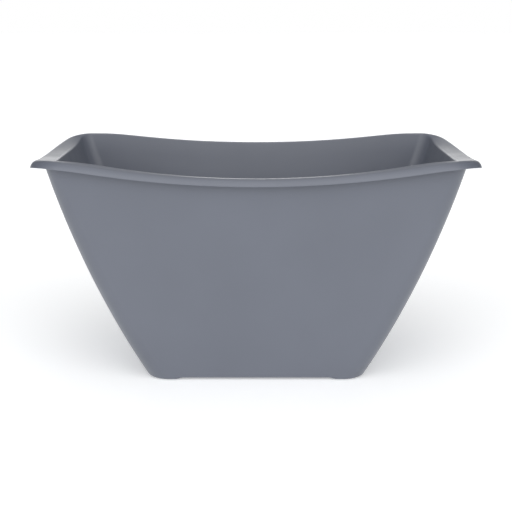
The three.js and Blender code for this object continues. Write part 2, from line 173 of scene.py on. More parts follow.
class BathtubDrain(bpy.types.PropertyGroup):
    """The drain and its stopper."""

    bore: length("Bore", "Diameter of the drain", 0.038)
    tube_wall: length("Tube wall", "Thickness of the drain's tube", 0.0026)
    seat: length("Seat", "Depth of the cone that the stopper seats in", 0.0024)
    bar: length("Strainer bar", "Width of a bar of the strainer", 0.0026)
    dish_slope: length("Dish slope", "Slope round the recess for the drain", 0.009)
    boss_border: length("Boss border", "Plastic outside the lock nut", 0.004)
    fit_gap: length("Fit gap", "Clearance between pieces that touch", 0.0003)
    nut_lobes: IntProperty(name="Nut lobes", description="Lobes to grip the nut by", default=10)
    nut_lobe_height: length("Lobe height", "Depth between the nut's lobes", 0.0016)
    plug_depth: length("Plug depth", "How far the plug reaches into the drain", 0.0065)
    plug_draft: length("Plug draft", "How much the plug narrows, on its radius", 0.0022)
    disc_thickness: length("Disc thickness", "Thickness of the stopper's disc", 0.0034)
    eye_width: length("Eye width", "Width of the stopper's eye", 0.009)
    eye_thickness: length("Eye thickness", "Thickness of the stopper's eye", 0.004)
    eye_hole: length("Eye hole", "Diameter of the hole for the ring", 0.0036)
    ring_wire: length("Ring wire", "Diameter of the ring's wire", 0.0024)


class BathtubColours(bpy.types.PropertyGroup):
    """The finishes' colours."""

    tub: colour("Tub", "Slate grey polypropylene", "#5e626c")
    drain: colour("Drain", "Dark grey moulded plastic", "#3d4147")
    pads: colour("Pads", "Black thermoplastic rubber", "#242629")
    stopper: colour("Stopper", "Dark grey rubber", "#303338")
    ring: colour("Ring", "Stainless steel wire", "#c3c4c6")
    studio: colour("Studio", "Pale studio floor", "#f4f5f6")


GROUPS = {
    "bathtub_rim": BathtubRim,
    "bathtub_walls": BathtubWalls,
    "bathtub_bars": BathtubBars,
    "bathtub_drain": BathtubDrain,
    "bathtub_colours": BathtubColours,
}


# ---------- outlines and heights of the tub ----------

BOW_POWER = 1.5  # above 1, so that the walls' bow grows mostly towards the rim
SMALLEST_CORNER = 0.002
NEARLY_HALFWAY = 0.48  # how far a rounding may reach along the line to the next corner
SIDE_STEPS = 36
CORNER_STEPS = 22
END_STEPS = 24


class Outline(NamedTuple):
    """A rounded rectangle seen from above, with sides and ends that bulge at their middles."""

    half_length: float
    half_width: float
    corner: float
    side_bow: float = 0.0
    end_bow: float = 0.0
    end_power: float = 2.0

    def outset(self, distance):
        return self._replace(
            half_length=self.half_length + distance,
            half_width=self.half_width + distance,
            corner=max(self.corner + distance, SMALLEST_CORNER),
        )

    def towards(self, other, share, bow_share):
        shares = (share, share, share, bow_share, bow_share, 1)
        return Outline(*(a + (b - a) * s for a, b, s in zip(self, other, shares)))

    def points(self):
        """The outline as [x, y] rows, anticlockwise from the middle of the +X end."""
        flat_end = self.half_length - self.end_bow
        flat_side = self.half_width - self.side_bow
        ends = np.arange(END_STEPS) / END_STEPS
        turn = np.arange(CORNER_STEPS) / CORNER_STEPS * math.pi / 2
        sides = 1 - np.arange(SIDE_STEPS) / SIDE_STEPS
        x = np.concatenate(
            [
                np.full(END_STEPS, flat_end),
                flat_end - self.corner + self.corner * np.cos(turn),
                (flat_end - self.corner) * sides,
            ]
        )
        y = np.concatenate(
            [
                (flat_side - self.corner) * ends,
                flat_side - self.corner + self.corner * np.sin(turn),
                np.full(SIDE_STEPS, flat_side),
            ]
        )
        bowed_x = x * (1 + self.end_bow / flat_end * (1 - (y / flat_side) ** 2))
        bowed_y = y * (1 + self.side_bow / flat_side * (1 - (x / flat_end) ** 2))
        quarter = np.stack([bowed_x, bowed_y], axis=1)
        side_middle = np.array([[0.0, self.half_width]])
        back = np.concatenate([quarter[1:], side_middle])[::-1]
        return np.concatenate(
            [quarter, back * (-1, 1), quarter * (-1, -1), back * (1, -1)]
        )


def smooth(share):
    s = np.clip(share, 0, 1)
    return s * s * (3 - 2 * s)


class TubShape:
    """The tub's skin, worked out from its sizes."""

    def __init__(self, rim, walls, drain):
        self.rim, self.walls, self.drain = rim, walls, drain
        self.rim_edge = Outline(
            rim.length / 2, rim.width / 2, rim.corner, rim.side_bow, rim.end_bow
        )
        self.wall_top = Outline(
            rim.length / 2 - rim.end_shelf,
            rim.width / 2 - rim.side_shelf,
            walls.top_corner - walls.wall,
            rim.side_bow,
            rim.edge_bow,
            rim.edge_flatness,
        )
        self.base = Outline(walls.base_length / 2, walls.base_width / 2, walls.base_corner)
        self.drain_x = middle_of("drain_flange").x
        self.underside = walls.floor - walls.floor_thickness

    def crest(self, points, outline):
        """Height of the rim's crest above each point of an outline."""
        rim = self.rim
        along = points[:, 0] / outline.half_length * rim.length / 2
        curve = rim.side_dip / rim.dip_reach**2
        open_dip = np.exp(-curve * along**2 / rim.dip_softness)
        full_dip = math.exp(-rim.side_dip / rim.dip_softness)
        rise = -rim.dip_softness * np.log(open_dip + full_dip)
        flat_side = outline.half_width - outline.side_bow
        beside = np.minimum(np.abs(points[:, 1]) / flat_side, 1) ** outline.end_power
        across = 1 - (1 - rim.end_dip_left) * beside
        near_end = np.abs(points[:, 0] / outline.half_length) ** rim.end_dip_power
        end_dip = rim.end_dip * near_end * across
        return rim.corner_height - rim.side_dip + rise - end_dip

    def ground(self, points):
        """Height of the ground ring, which steps down to a foot at each corner."""
        walls = self.walls
        start_x = self.base.half_length - walls.foot_span - walls.foot_blend
        start_y = self.base.half_width - walls.foot_span - walls.foot_blend
        foot_x = smooth((np.abs(points[:, 0]) - start_x) / walls.foot_blend)
        foot_y = smooth((np.abs(points[:, 1]) - start_y) / walls.foot_blend)
        top = walls.pad_proud + walls.foot_height
        return top - walls.foot_height * foot_x * foot_y

    def wall(self, share, inset=0.0):
        """The wall at a share of its height, outside or inset into its thickness."""
        barrel = self.walls.barrel
        lean = share * (1 + barrel) - barrel * share**2
        top = self.wall_top.outset(self.walls.wall)
        outline = self.base.towards(top, lean, share**BOW_POWER)
        outer = outline.points()
        height = self.ground(outer) * (1 - share)
        height += (self.crest(outer, outline) - self.walls.wall) * share
        return self.lift(outline.outset(-inset).points(), height)

    def rim_line(self, outline, drop):
        points = outline.points()
        return self.lift(points, self.crest(points, outline) - drop)

    def lip(self, share, inset=0.0):
        """The rim's curve from its shelf, at 0, down to its free edge, at 1."""
        rim = self.rim
        to_shoulder = (1 - share) ** 2 * rim.lip_run
        round_shoulder = 2 * share * (1 - share) * (rim.lip_shoulder + inset / 2)
        outline = self.rim_edge.outset(-to_shoulder - round_shoulder - inset * share**2)
        return self.rim_line(outline, inset * (1 - share**2) + rim.lip_drop * share**2)

    @staticmethod
    def lift(points, height):
        return np.column_stack([points, np.broadcast_to(height, len(points))])

    def circle(self, radius, height):
        """A circle round the drain, its points on the same spokes as the floor's edge."""
        spokes = self.base.points() - (self.drain_x, 0)
        spokes /= np.linalg.norm(spokes, axis=1)[:, None]
        return self.lift(spokes * radius + (self.drain_x, 0), height)

    def stations(self):
        """The skin's cross-section as a closed loop of (line, rounding, steps)."""
        rim, walls, drain = self.rim, self.walls, self.drain
        loop = []

        def add(line, rounding=0.0, steps=4):
            loop.append((line, rounding, steps))

        # the drain's recess and the floor round it
        flange_low, flange_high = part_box("drain_flange")
        gasket_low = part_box("drain_gasket")[0]
        nut_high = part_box("drain_lock_nut")[1]
        dish_floor = gasket_low.z - drain.fit_gap
        dish_radius = (flange_high.x - flange_low.x) / 2 + 2 * drain.fit_gap
        boss_radius = size_of("drain_lock_nut").x / 2 + drain.boss_border
        boss_bottom = nut_high.z + drain.fit_gap
        hole_radius = drain.bore / 2 + drain.tube_wall + drain.fit_gap
        dish_edge = self.circle(dish_radius + drain.dish_slope, walls.floor)
        add(self.circle(hole_radius, dish_floor), 0.0006, 3)
        add(self.circle(dish_radius, dish_floor), 0.0015)
        add(dish_edge, 0.004, 6)
        roundness = 1 - math.cos(math.radians(70))
        floor_share = (walls.floor + walls.floor_round * roundness) / (
            rim.corner_height - rim.side_dip
        )
        floor_edge = self.wall(floor_share * 0.6, walls.wall)
        floor_edge[:, 2] = walls.floor
        for share in (0.3, 0.6):
            add(dish_edge + (floor_edge - dish_edge) * share)

        # up the inside, over the crest and across the shelf
        add(floor_edge, walls.floor_round, 10)
        for share in np.linspace(0.12, 0.92, 17):
            add(self.wall(share, walls.wall))
        add(self.rim_line(self.wall_top, 0), rim.crest_round, 6)
        for share in np.linspace(0, 0.9, 10):
            add(self.lip(share))

        # round the lip's free edge and back under the shelf
        add(self.lip(1), rim.edge_round, 4)
        add(self.lip(1, walls.wall), rim.edge_round, 4)
        for share in np.linspace(0.85, 0, 6):
            add(self.lip(share, walls.wall))
        add(self.rim_line(self.wall_top.outset(walls.wall), walls.wall), 0.0005, 2)

        # down the outside, under the ground ring and up into the recess
        for share in np.linspace(0.96, 0.06, 20):
            add(self.wall(share))
        base_line = self.base.points()
        add(self.lift(base_line, self.ground(base_line)), walls.base_round, 6)
        ring_inside = self.base.outset(-walls.ring_width)
        ring_line = ring_inside.points()
        add(self.lift(ring_line, self.ground(ring_line)), 0.0015, 4)
        recess = self.lift(ring_inside.outset(-walls.ring_draft).points(), self.underside)
        add(recess, 0.003, 4)

        # across the underside to the drain's boss and back up its hole
        boss_edge = self.circle(boss_radius + walls.floor_thickness, self.underside)
        add(recess + (boss_edge - recess) * 0.5)
        add(boss_edge, 0.0015)
        add(self.circle(boss_radius, boss_bottom), 0.0008, 3)
        add(self.circle(hole_radius, boss_bottom), 0.0005, 2)
        return loop


def towards(start, end, distance):
    """Points the given distance from start on the way to end, but never past the middle."""
    way = end - start
    reach = np.linalg.norm(way, axis=1)
    share = np.minimum(distance / np.maximum(reach, 1e-9), NEARLY_HALFWAY)
    return start + way * share[:, None]


def rounded_loop(stations):
    """The loop's lines, with each corner that has a rounding drawn as a curve."""
    lines = []
    for i, (line, rounding, steps) in enumerate(stations):
        if rounding == 0:
            lines.append(line)
            continue
        start = towards(line, stations[i - 1][0], rounding)
        end = towards(line, stations[(i + 1) % len(stations)][0], rounding)
        for t in np.linspace(0, 1, steps + 1):
            lines.append((1 - t) ** 2 * start + 2 * t * (1 - t) * line + t**2 * end)
    return lines


# ---------- meshes ----------


def in_scene(name, mesh):
    """An object of that mesh, linked to the scene."""
    made = bpy.data.objects.new(name, mesh)
    bpy.context.scene.collection.objects.link(made)
    return made


def new_object(name, vertices, faces):
    """A smooth closed mesh in an object at the origin, with its faces turned outwards."""
    mesh = bpy.data.meshes.new(name)
    mesh.from_pydata([tuple(map(float, v)) for v in vertices], [], faces)
    bm = bmesh.new()
    bm.from_mesh(mesh)
    bmesh.ops.remove_doubles(bm, verts=bm.verts, dist=1e-7)
    bmesh.ops.recalc_face_normals(bm, faces=bm.faces)
    if bm.calc_volume(signed=True) < 0:
        bmesh.ops.reverse_faces(bm, faces=bm.faces)
    bm.to_mesh(mesh)
    bm.free()
    return in_scene(name, mesh)


def shade(made, sharp_angle=32):
    made.data.shade_smooth()
    made.data.set_sharp_from_angle(angle=math.radians(sharp_angle))
    return made


def closed_loft(name, lines):
    """Skins a closed loop of closed lines that all have the same number of points."""
    count = len(lines[0])
    rings = len(lines)
    faces = []
    for ring in range(rings):
        here, there = ring * count, (ring + 1) % rings * count
        for i in range(count):
            j = (i + 1) % count
            faces.append((here + i, here + j, there + j, there + i))
    return new_object(name, np.concatenate(lines), faces)


def rounded_outline(corners, steps=5):
    """A [radius, height, rounding] outline with its corners rounded; it isn't closed."""
    points = []
    for i, (radius, height, rounding) in enumerate(corners):
        here = Vector((radius, height))
        if rounding == 0 or i in (0, len(corners) - 1):
            points.append(here)
            continue
        before = Vector(corners[i - 1][:2]) - here
        after = Vector(corners[i + 1][:2]) - here
        start = here + before.normalized() * min(rounding, before.length * NEARLY_HALFWAY)
        end = here + after.normalized() * min(rounding, after.length * NEARLY_HALFWAY)
        for step in range(steps + 1):
            t = step / steps
            points.append(start * (1 - t) ** 2 + here * 2 * t * (1 - t) + end * t**2)
    return points


def turned(name, corners, centre=(0, 0, 0), closed=False, steps=96):
    """A piece turned about Z. A closed outline makes a ring, any other one ends on the axis."""
    outline = rounded_outline(corners)
    vertices, rings = [], []
    for point in outline:
        if point.x < 1e-6:
            rings.append([len(vertices)])
            vertices.append((centre[0], centre[1], centre[2] + point.y))
            continue
        rings.append(list(range(len(vertices), len(vertices) + steps)))
        for i in range(steps):
            angle = 2 * math.pi * i / steps
            x = centre[0] + point.x * math.cos(angle)
            y = centre[1] + point.x * math.sin(angle)
            vertices.append((x, y, centre[2] + point.y))
    pairs = list(zip(rings, rings[1:]))
    if closed:
        pairs.append((rings[-1], rings[0]))
    faces = []
    for low, high in pairs:
        for i in range(steps):
            j = (i + 1) % steps
            below = [low[i % len(low)], low[j % len(low)]]
            above = [high[j % len(high)], high[i % len(high)]]
            face = tuple(dict.fromkeys(below + above))
            if len(face) > 2:
                faces.append(face)
    return new_object(name, vertices, faces)


def joined(name, *parts):
    """Several objects' meshes as one object."""
    bm = bmesh.new()
    for part in parts:
        bm.from_mesh(part.data)
        bpy.data.objects.remove(part)
    mesh = bpy.data.meshes.new(name)
    bm.to_mesh(mesh)
    bm.free()
    return in_scene(name, mesh)


def rounded_box(name, low, high, rounding, segments=3):
    """A box with rounded edges between two corners."""
    low, high = Vector(low), Vector(high)
    bm = bmesh.new()
    bmesh.ops.create_cube(bm, size=1)
    bmesh.ops.scale(bm, vec=high - low, verts=bm.verts)
    bmesh.ops.translate(bm, vec=(low + high) / 2, verts=bm.verts)
    bmesh.ops.bevel(
        bm, geom=bm.edges, offset=rounding, segments=segments, affect="EDGES", profile=0.5
    )
    mesh = bpy.data.meshes.new(name)
    bm.to_mesh(mesh)
    bm.free()
    return in_scene(name, mesh)


# ---------- Geometry Nodes: copies of a small piece on a grid ----------


def grid_tree():
    """Copies of the input piece on a grid, left out of a round clearing, as one real mesh."""
    tree = bpy.data.node_groups.new("copies on a grid", "GeometryNodeTree")
    face = tree.interface
    face.new_socket("Geometry", in_out="INPUT", socket_type="NodeSocketGeometry")
    for name in ("Columns", "Rows"):
        face.new_socket(name, in_out="INPUT", socket_type="NodeSocketInt")
    for name in ("Pitch X", "Pitch Y", "Clearing X", "Clearing Radius"):
        face.new_socket(name, in_out="INPUT", socket_type="NodeSocketFloat")
    face.new_socket("Material", in_out="INPUT", socket_type="NodeSocketMaterial")
    face.new_socket("Geometry", in_out="OUTPUT", socket_type="NodeSocketGeometry")

    def add(kind, settings=None, links=None):
        return add_node(tree, kind, settings, links)

    given = add("NodeGroupInput")

    def spread(count, pitch):
        steps = add(
            "ShaderNodeMath", {"operation": "SUBTRACT", 1: 1.0}, {0: given.outputs[count]}
        )
        return add(
            "ShaderNodeMath",
            {"operation": "MULTIPLY"},
            {0: steps.outputs[0], 1: given.outputs[pitch]},
        )

    grid = add(
        "GeometryNodeMeshGrid",
        links={
            "Size X": spread("Columns", "Pitch X").outputs[0],
            "Size Y": spread("Rows", "Pitch Y").outputs[0],
            "Vertices X": given.outputs["Columns"],
            "Vertices Y": given.outputs["Rows"],
        },
    )
    place = add("GeometryNodeInputPosition")
    clearing = add("ShaderNodeCombineXYZ", links={"X": given.outputs["Clearing X"]})
    away = add(
        "ShaderNodeVectorMath",
        {"operation": "DISTANCE"},
        {0: place.outputs[0], 1: clearing.outputs[0]},
    )
    kept = add(
        "FunctionNodeCompare",
        {"operation": "GREATER_THAN"},
        {"A": away.outputs["Value"], "B": given.outputs["Clearing Radius"]},
    )
    points = add(
        "GeometryNodeMeshToPoints",
        links={"Mesh": grid.outputs["Mesh"], "Selection": kept.outputs[0]},
    )
    copies = add(
        "GeometryNodeInstanceOnPoints",
        links={"Points": points.outputs[0], "Instance": given.outputs["Geometry"]},
    )
    real = add("GeometryNodeRealizeInstances", links={0: copies.outputs[0]})
    painted = add(
        "GeometryNodeSetMaterial",
        links={"Geometry": real.outputs[0], "Material": given.outputs["Material"]},
    )
    add("NodeGroupOutput", links={0: painted.outputs[0]})
    return tree


def on_grid(made, tree, **inputs):
    """Runs the grid tree on an object and keeps its result as the object's plain mesh."""
    modifier = made.modifiers.new("copies", "NODES")
    modifier.node_group = tree
    for item in tree.interface.items_tree:
        key = item.name.lower().replace(" ", "_")
        if item.item_type == "SOCKET" and item.in_out == "INPUT" and key in inputs:
            modifier[item.identifier] = inputs[key]
    evaluated = made.evaluated_get(bpy.context.evaluated_depsgraph_get())
    mesh = bpy.data.meshes.new_from_object(evaluated)
    made.modifiers.remove(modifier)
    made.data = mesh
    return made


# ---------- materials ----------


def add_node(tree, kind, settings=None, links=None):
    """Adds a node; a setting is a property's name or an input's number or name."""
    node = tree.nodes.new(kind)
    for key, value in (settings or {}).items():
        if isinstance(key, str) and hasattr(node, key):
            setattr(node, key, value)
        else:
            node.inputs[key].default_value = value
    for key, source in (links or {}).items():
        tree.links.new(source, node.inputs[key])
    return node


def new_material(name):
    material = bpy.data.materials.new(name)
    material.use_nodes = True
    tree = material.node_tree
    shader = tree.nodes["Principled BSDF"]
    place = add_node(tree, "ShaderNodeTexCoord").outputs["Object"]
    return material, tree, shader, place


def mixed_colour(tree, shader, base, other, factor):
    """Sets the base colour, drifting a little towards another one where the factor is high."""
    mix = add_node(
        tree,
        "ShaderNodeMix",
        {"data_type": "RGBA"},
        {"Factor": factor},
    )
    mix.inputs["A"].default_value = (*base, 1)
    mix.inputs["B"].default_value = (*other, 1)
    tree.links.new(mix.outputs["Result"], shader.inputs["Base Color"])


def scaled(colour_value, share):
    return tuple(min(1, part * share) for part in colour_value)


def noise(tree, place, millimetres, detail=3.0, roughness=0.5):
    """Noise whose lumps are about the given size."""
    settings = {"Scale": 1000 / millimetres, "Detail": detail, "Roughness": roughness}
    return add_node(tree, "ShaderNodeTexNoise", settings, {"Vector": place}).outputs["Fac"]


def ranged(tree, value, low, high, start=0.0, end=1.0):
    settings = {"From Min": low, "From Max": high, "To Min": start, "To Max": end}
    node = add_node(tree, "ShaderNodeMapRange", settings, {"Value": value})
    return node.outputs["Result"]


def bump(tree, shader, *layers):
    """Stacks bumps of (height, depth in millimetres)."""
    normal = None
    for height, depth in layers:
        node = add_node(
            tree,
            "ShaderNodeBump",
            {"Strength": 1.0, "Distance": depth / 1000},
            {"Height": height},
        )
        if normal is not None:
            tree.links.new(normal, node.inputs["Normal"])
        normal = node.outputs["Normal"]
    tree.links.new(normal, shader.inputs["Normal"])


def moulded_polypropylene(colour_value):
    """Injection-moulded polypropylene: waxy and satin, from a lightly spark-eroded mould."""
    material, tree, shader, place = new_material("moulded polypropylene")
    # the pigment drifts a little where the melt flowed, over tens of centimetres
    flow = ranged(tree, noise(tree, place, 160, 2.0), 0.35, 0.65)
    mixed_colour(tree, shader, colour_value, scaled(colour_value, 1.05), flow)
    # handling polishes some places and dulls others
    handled = ranged(tree, noise(tree, place, 45, 4.0, 0.6), 0.3, 0.7, 0.28, 0.36)
    tree.links.new(handled, shader.inputs["Roughness"])
    shader.inputs["IOR"].default_value = 1.49
    # spark-eroded grain is about 0.4 mm; thick plastic also sinks very slightly as it cools
    bump(tree, shader, (noise(tree, place, 60, 1.0), 0.15), (noise(tree, place, 0.4, 2.0), 0.006))
    return material


def moulded_nylon(colour_value):
    """Glass-filled nylon, moulded: darker and a little duller than the tub."""
    material, tree, shader, place = new_material("moulded nylon")
    fibres = ranged(tree, noise(tree, place, 6, 5.0, 0.7), 0.35, 0.7)
    mixed_colour(tree, shader, colour_value, scaled(colour_value, 1.25), fibres)
    shader.inputs["Roughness"].default_value = 0.5
    shader.inputs["IOR"].default_value = 1.53
    bump(tree, shader, (noise(tree, place, 0.3, 2.0), 0.012))
    return material


def thermoplastic_rubber(name, colour_value, rough, dust):
    """Moulded soft rubber: matt, with a faint dusty bloom."""
    material, tree, shader, place = new_material(name)
    bloom = ranged(tree, noise(tree, place, 9, 5.0, 0.65), 0.45, 0.75)
    mixed_colour(tree, shader, colour_value, scaled(colour_value, dust), bloom)
    shader.inputs["Roughness"].default_value = rough
    shader.inputs["IOR"].default_value = 1.52
    bump(tree, shader, (noise(tree, place, 0.5, 3.0), 0.02))
    return material


def stainless_wire(colour_value):
    """Drawn stainless steel wire: bright, with fine scratches from its die."""
    material, tree, shader, place = new_material("stainless steel wire")
    scratches = ranged(tree, noise(tree, place, 0.8, 4.0, 0.7), 0.3, 0.7, 0.2, 0.36)
    tree.links.new(scratches, shader.inputs["Roughness"])
    shader.inputs["Base Color"].default_value = (*colour_value, 1)
    shader.inputs["Metallic"].default_value = 1.0
    bump(tree, shader, (noise(tree, place, 0.4, 3.0), 0.004))
    return material


def studio_floor(colour_value):
    """A product table of white opal acrylic, which glows as if lit from beneath."""
    material, tree, shader, place = new_material("opal acrylic")
    shade_drift = ranged(tree, noise(tree, place, 900, 2.0), 0.3, 0.7)
    mixed_colour(tree, shader, colour_value, scaled(colour_value, 0.99), shade_drift)
    shader.inputs["Roughness"].default_value = 0.75
    shader.inputs["Emission Color"].default_value = (*colour_value, 1)
    shader.inputs["Emission Strength"].default_value = TABLE_GLOW
    return material


def finish_named(name, make, *values):
    """A material by its name, made the first time that it is asked for."""
    return bpy.data.materials.get(name) or make(*values)


def tub_finish(context):
    colours = context.scene.bathtub_colours
    return finish_named("moulded polypropylene", moulded_polypropylene, tuple(colours.tub))


def drain_finish(context):
    colours = context.scene.bathtub_colours
    return finish_named("moulded nylon", moulded_nylon, tuple(colours.drain))


def pad_finish(context):
    colours = context.scene.bathtub_colours
    name = "black thermoplastic rubber"
    return finish_named(name, thermoplastic_rubber, name, tuple(colours.pads), 0.78, 1.5)


def stopper_finish(context):
    colours = context.scene.bathtub_colours
    name = "grey moulded rubber"
    return finish_named(name, thermoplastic_rubber, name, tuple(colours.stopper), 0.62, 1.35)


def settle(made, material, body, slot, *nodes):
    """Gives a finished piece its material and its body, and hides the nodes that it replaces; its
    slot is not used.
    """
    made.data.materials.clear()
    made.data.materials.append(material)
    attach(made, body)
    if nodes:
        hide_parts(*nodes)
    return made


# ---------- operators ----------


def tub_shape(context):
    scene = context.scene
    return TubShape(scene.bathtub_rim, scene.bathtub_walls, scene.bathtub_drain)


class BATHTUB_OT_shell(bpy.types.Operator):
    """Make the tub's skin: walls, rolled rim, floor, ground ring and drain recess"""

    bl_idname = "bathtub.shell"
    bl_label = "Tub shell"

    def execute(self, context):
        lines = rounded_loop(tub_shape(context).stations())
        shell = shade(closed_loft("tub_skin", lines))
        settle(shell, tub_finish(context), "tub", "tub_plastic", "tub_shell")
        return {"FINISHED"}


class BATHTUB_OT_floor_bars(bpy.types.Operator):
    """Make the low anti-slip bars on the floor"""

    bl_idname = "bathtub.floor_bars"
    bl_label = "Anti-slip bars"

    def execute(self, context):
        scene = context.scene
        bars, walls, drain = scene.bathtub_bars, scene.bathtub_walls, scene.bathtub_drain
        low = (-bars.length / 2, -bars.width / 2, walls.floor - walls.floor_thickness / 2)
        high = (bars.length / 2, bars.width / 2, walls.floor + bars.height)
        made = rounded_box("anti_slip_bars", low, high, bars.height * 0.95, 4)
        pitch_x, pitch_y = bars.length + bars.gap, bars.width + bars.gap
        border = walls.wall + walls.floor_round + bars.margin
        flat_x = walls.base_length - 2 * border
        flat_y = walls.base_width - 2 * border
        dish = size_of("drain_flange").x / 2 + 2 * drain.fit_gap + drain.dish_slope
        on_grid(
            made,
            grid_tree(),
            columns=math.floor((flat_x + bars.gap) / pitch_x),
            rows=math.floor((flat_y + bars.gap) / pitch_y),
            pitch_x=pitch_x,
            pitch_y=pitch_y,
            clearing_x=middle_of("drain_flange").x,
            clearing_radius=dish + bars.gap / 2,
            material=tub_finish(context),
        )
        settle(shade(made), tub_finish(context), "tub", "tub_plastic", "tub_shell")
        return {"FINISHED"}


class BATHTUB_OT_feet(bpy.types.Operator):
    """Make the four moulded feet with their pockets, and the rubber pads in them"""

    bl_idname = "bathtub.feet"
    bl_label = "Feet and pads"

    def execute(self, context):
        walls, gap = context.scene.bathtub_walls, context.scene.bathtub_drain.fit_gap
        pad = size_of(PAD_NODES[0])
        pocket = pad.x / 2 + gap
        radius = pad.x / 2 + walls.pad_land
        roof = walls.floor - walls.floor_thickness / 2
        corners = [
            (pocket, walls.pad_proud, 0),
            (radius, walls.pad_proud, 0.0012),
            (radius, roof, 0),
            (pocket, roof, 0),
        ]
        foot = turned("moulded_feet", corners, closed=True, steps=64)
        ceiling = [(0, pad.z + gap, 0), (pocket, pad.z + gap, 0), (pocket, roof, 0), (0, roof, 0)]
        foot = joined("moulded_feet", foot, turned("pocket_roof", ceiling, steps=64))
        middle = middle_of("foot_pad_back_right")
        on_grid(
            foot,
            grid_tree(),
            columns=2,
            rows=2,
            pitch_x=2 * middle.x,
            pitch_y=2 * middle.y,
            clearing_x=0.0,
            clearing_radius=0.0,
            material=tub_finish(context),
        )
        settle(shade(foot), tub_finish(context), "tub", "tub_plastic", "tub_shell")
        for node in PAD_NODES:
            self.make_pad(context, node, pad)
        return {"FINISHED"}

    def make_pad(self, context, node, pad):
        """A round pad whose underside has two grooves to grip with."""
        radius, groove = pad.x / 2, 0.0007
        outline = [(0, 0, 0)]
        for share in (0.32, 0.62):
            outline += [
                (radius * share, 0, 0.0003),
                (radius * share + groove / 2, groove, 0.0003),
                (radius * share + groove * 1.5, groove, 0.0003),
                (radius * share + groove * 2, 0, 0.0003),
            ]
        outline += [(radius, 0, 0.0008), (radius, pad.z, 0.0005), (0, pad.z, 0)]
        middle = middle_of(node)
        made = turned(node + "_rubber", outline, (middle.x, middle.y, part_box(node)[0].z))
        settle(shade(made), pad_finish(context), "tub", "black_rubber", node)


class BATHTUB_OT_drain(bpy.types.Operator):
    """Make the drain: its flange and tube, the strainer cross, the gasket and the lock nut"""

    bl_idname = "bathtub.drain"
    bl_label = "Floor drain"

    def execute(self, context):
        drain = context.scene.bathtub_drain
        self.make_flange(context, drain)
        self.make_gasket(context, drain)
        self.make_nut(context, drain)
        return {"FINISHED"}

    def make_flange(self, context, drain):
        low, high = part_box("drain_flange")
        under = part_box("drain_gasket")[1].z + drain.fit_gap
        bore, tube = drain.bore / 2, drain.bore / 2 + drain.tube_wall
        rim = (high.x - low.x) / 2
        corners = [
            (bore, low.z, 0),
            (tube, low.z, 0.0005),
            (tube, under, 0.0004),
            (rim, under, 0.0004),
            (rim, high.z - 0.0006, 0.0005),
            (rim - 0.0012, high.z, 0.0006),
            (bore + drain.seat, high.z, 0.0006),
            (bore, high.z - drain.seat, 0.0006),
        ]
        centre = middle_of("drain_flange")
        ring = turned("flange_ring", corners, (centre.x, centre.y, 0), closed=True, steps=128)
        half, reach = drain.bar / 2, bore + drain.tube_wall / 2
        parts = [ring]
        for x, y in ((reach, half), (half, reach)):
            start = (centre.x - x, centre.y - y, low.z)
            end = (centre.x + x, centre.y + y, low.z + drain.bar)
            parts.append(rounded_box("strainer_bar", start, end, 0.0006))
        made = joined("drain_flange_and_strainer", *parts)
        settle(shade(made), drain_finish(context), "tub", "drain_plastic", "drain_flange")

    def make_gasket(self, context, drain):
        low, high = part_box("drain_gasket")
        inner = drain.bore / 2 + drain.tube_wall + drain.fit_gap
        outer = (high.x - low.x) / 2
        corners = [
            (inner, low.z, 0),
            (outer, low.z, 0.0004),
            (outer, high.z, 0.0004),
            (inner, high.z, 0),
        ]
        centre = middle_of("drain_gasket")
        made = turned("rubber_gasket", corners, (centre.x, centre.y, 0), closed=True)
        settle(shade(made), pad_finish(context), "tub", "black_rubber", "drain_gasket")

    def make_nut(self, context, drain):
        low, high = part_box("drain_lock_nut")
        centre = middle_of("drain_lock_nut")
        inner = drain.bore / 2 + drain.tube_wall + drain.fit_gap
        outer = (high.x - low.x) / 2
        steps = drain.nut_lobes * 24
        angles = np.arange(steps) / steps * 2 * math.pi
        lobes = drain.nut_lobe_height * (1 - np.cos(angles * drain.nut_lobes)) / 2
        bevel = 0.0005

        def line(radius, height):
            x = centre.x + radius * np.cos(angles)
            y = centre.y + radius * np.sin(angles)
            return np.column_stack([x, y, np.full(steps, height)])

        stations = [
            (line(inner, low.z), bevel, 3),
            (line(outer - lobes, low.z), bevel, 3),
            (line(outer - lobes, high.z), bevel, 3),
            (line(inner, high.z), bevel, 3),
        ]
        made = closed_loft("lobed_lock_nut", rounded_loop(stations))
        settle(shade(made), drain_finish(context), "tub", "drain_plastic", "drain_lock_nut")


